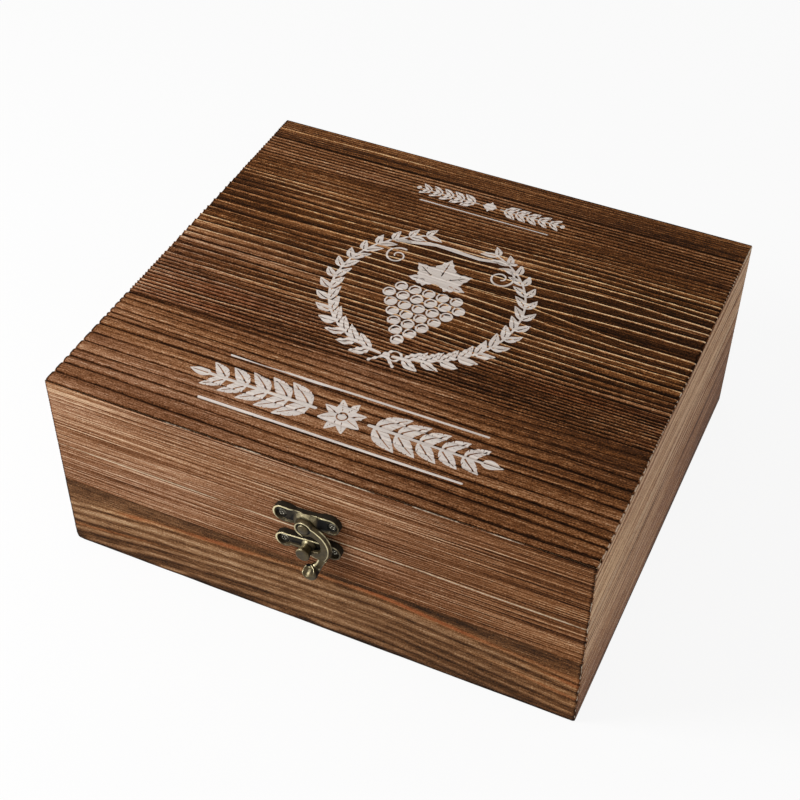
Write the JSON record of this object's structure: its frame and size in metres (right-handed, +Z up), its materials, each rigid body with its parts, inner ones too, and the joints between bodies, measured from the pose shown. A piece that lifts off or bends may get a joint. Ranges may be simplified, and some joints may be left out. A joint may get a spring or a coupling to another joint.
{
  "type": "hinged wooden keepsake box",
  "caption": "Low torched-wood box for a bottle or keepsakes, with a lid hinged at the back and a swing hook latch on the front.",
  "frame": {"origin": "centre of the box's underside, which rests on the table", "axes": "+X to the right as the latch is faced, +Y from the latch to the hinges, +Z up"},
  "size_m": [0.24, 0.2286, 0.097],
  "materials": {
    "wall_wood": "torched and brushed, satin",
    "top_wood": "torched dark and brushed, satin",
    "panel_wood": "sanded, matt",
    "antique_bronze": "antique, dark in the recesses and worn bright on the edges",
    "screw_metal": "antique, dull"
  },
  "bodies": {
    "base": {"base_front_upper_strip": "wall_wood", "base_front_lower_strip": "wall_wood", "base_back_board": "wall_wood", "base_left_board": "wall_wood", "base_right_board": "wall_wood", "bottom_panel": "panel_wood", "catch_plate": "antique_bronze", "catch_post": "antique_bronze", "catch_screws": "screw_metal", "left_hinge_base_leaf": "antique_bronze", "right_hinge_base_leaf": "antique_bronze", "left_hinge_pin": "antique_bronze", "right_hinge_pin": "antique_bronze", "hinge_base_screws": "screw_metal"},
    "lid": {"top_back_strip": "top_wood", "top_middle_strip": "top_wood", "top_front_strip": "top_wood", "lid_front_rail": "wall_wood", "lid_back_rail": "wall_wood", "lid_left_rail": "wall_wood", "lid_right_rail": "wall_wood", "latch_plate": "antique_bronze", "latch_rivet": "antique_bronze", "latch_screws": "screw_metal", "left_hinge_lid_leaf": "antique_bronze", "right_hinge_lid_leaf": "antique_bronze", "hinge_lid_screws": "screw_metal"},
    "hook": {"swing_hook": "antique_bronze"}
  },
  "joints": [
    {"name": "lid_hinge", "type": "hinge", "parent": "base", "child": "lid", "pos_m": [0, 0.1092, 0.06085], "axis": [-1, 0, 0], "range_deg": [0, 105]},
    {"name": "hook_swing", "type": "hinge", "parent": "lid", "child": "hook", "pos_m": [0.0008, -0.1128, 0.06785], "axis": [0, -1, 0], "range_deg": [0, 110]}
  ]
}
